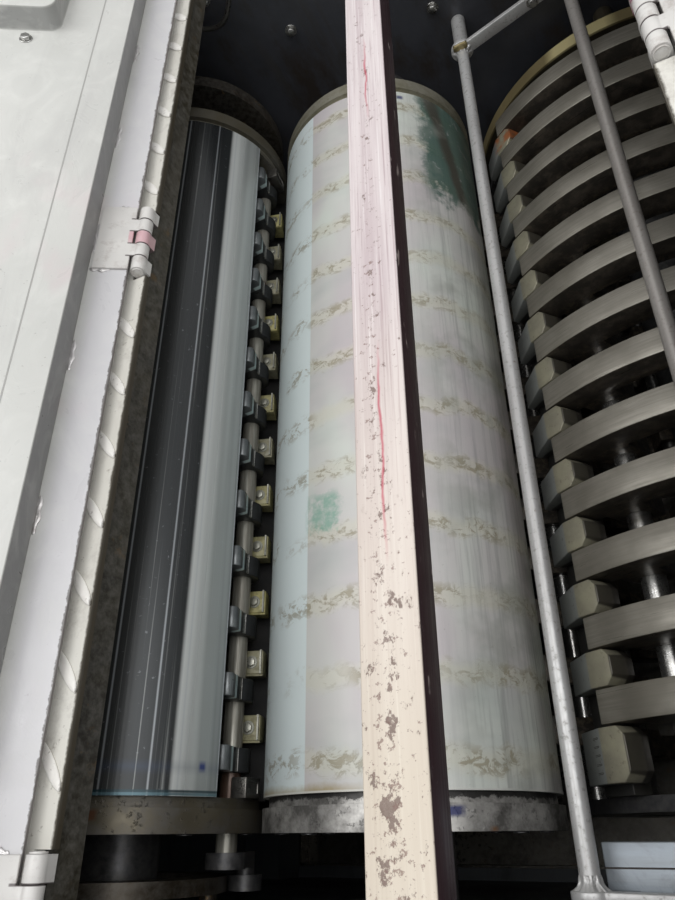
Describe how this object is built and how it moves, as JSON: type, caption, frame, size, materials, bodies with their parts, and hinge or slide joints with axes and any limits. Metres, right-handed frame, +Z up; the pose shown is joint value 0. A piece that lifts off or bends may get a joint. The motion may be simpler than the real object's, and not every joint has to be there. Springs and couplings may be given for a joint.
{
  "type": "transfer section of a sheet-fed offset printing press",
  "caption": "Open cylinder bay between two offset printing units: geared cylinders with grippers, a skeleton transfer drum, side frames, a support bar and hinged footboards.",
  "frame": {"origin": "on the floor, at the middle of the whole section's base", "axes": "+X along the sheet's travel, +Y across the press from the operator side to the drive side, +Z up"},
  "size_m": [1.12, 1.343, 1.0428],
  "materials": {
    "frame_paint": "dark oily paint on cast iron",
    "pan_steel": "oily painted sheet",
    "cover_paint": "light grey satin paint",
    "box_paint": "light grey satin paint",
    "button_plastic": "glossy push buttons",
    "deck_paint": "worn white paint on tread plate",
    "flap_paint": "light grey paint with pink stains",
    "wall_paint": "oily brown-olive paint",
    "bar_paint": "pinkish white with rust and red streaks",
    "rod_steel": "grey speckled steel",
    "rail_aluminium": "satin",
    "cam_iron": "dark, oily, with a golden sheen",
    "rubber_rest": "black rubber",
    "plate_metal": "mirror-like dark slate plate",
    "bearer_steel": "dark oily steel",
    "dark_steel": "dark oily steel",
    "gear_iron": "oiled",
    "bright_steel": "polished",
    "finger_steel": "blued steel",
    "pad_coat": "pale khaki coating",
    "jacket_metal": "pale blue-green-grey coated jacket",
    "rib_steel": "satin brown-grey steel with oily edges"
  },
  "bodies": {
    "frame": {"base_beams": "frame_paint", "levelling_feet": "bright_steel", "operator_side_frame": "frame_paint", "drive_side_frame": "frame_paint", "cross_ties": "frame_paint", "end_panels": "frame_paint", "oil_pan": "pan_steel", "operator_cover": "cover_paint", "cover_handles": "bright_steel", "control_box": "box_paint", "push_buttons": "button_plastic", "gear_case": "cover_paint", "left_deck": "deck_paint", "right_deck": "deck_paint", "deck_sills": "deck_paint", "deck_edge_walls": "wall_paint", "deck_hinges": "deck_paint", "support_bar": "bar_paint", "bar_brackets": "frame_paint", "guard_rods": "rod_steel", "guard_arms": "rod_steel", "ledge_rail": "rail_aluminium", "gripper_cams": "cam_iron", "drum_cam": "cam_iron", "bearing_flanges": "frame_paint", "flap_rests": "rubber_rest"},
    "left_cylinder": {"left_shell": "plate_metal", "left_bearers": "bearer_steel", "left_shaft": "dark_steel", "left_gear": "gear_iron", "gripper_shaft": "bright_steel", "gripper_fingers": "finger_steel", "gripper_pads": "pad_coat", "gripper_lever": "dark_steel"},
    "middle_cylinder": {"middle_shell": "jacket_metal", "middle_bearers": "bearer_steel", "middle_shaft": "dark_steel", "middle_gear": "gear_iron"},
    "drum": {"drum_shaft": "dark_steel", "drum_spiders": "dark_steel", "drum_ribs_a": "rib_steel", "drum_ribs_b": "rib_steel", "drum_blocks": "pad_coat", "drum_rods": "rod_steel", "drum_gear": "gear_iron"},
    "left_flap": {"left_flap_plate": "deck_paint", "left_flap_pan": "flap_paint", "left_flap_hinges": "deck_paint"},
    "right_flap": {"right_flap_plate": "deck_paint", "right_flap_pan": "flap_paint", "right_flap_hinges": "deck_paint"}
  },
  "joints": [
    {"name": "drum_spin", "type": "hinge", "parent": "frame", "child": "drum", "pos_m": [0.21721, 0, 0.38475], "axis": [0, 1, 0], "continuous": true},
    {"name": "middle_spin", "type": "hinge", "parent": "frame", "child": "middle_cylinder", "pos_m": [-0.108, 0, 0.6], "axis": [0, 1, 0], "continuous": true},
    {"name": "left_spin", "type": "hinge", "parent": "frame", "child": "left_cylinder", "pos_m": [-0.35456, 0, 0.6825], "axis": [0, 1, 0], "continuous": true},
    {"name": "left_flap_hinge", "type": "hinge", "parent": "frame", "child": "left_flap", "pos_m": [-0.20975, 0, 0.906], "axis": [0, 1, 0], "range_deg": [0, 150]},
    {"name": "right_flap_hinge", "type": "hinge", "parent": "frame", "child": "right_flap", "pos_m": [0.20475, 0, 0.906], "axis": [0, -1, 0], "range_deg": [0, 180]}
  ],
  "couplings": [
    {"joint": "middle_spin", "follows": "drum_spin", "ratio": -2},
    {"joint": "left_spin", "follows": "drum_spin", "ratio": 2}
  ]
}
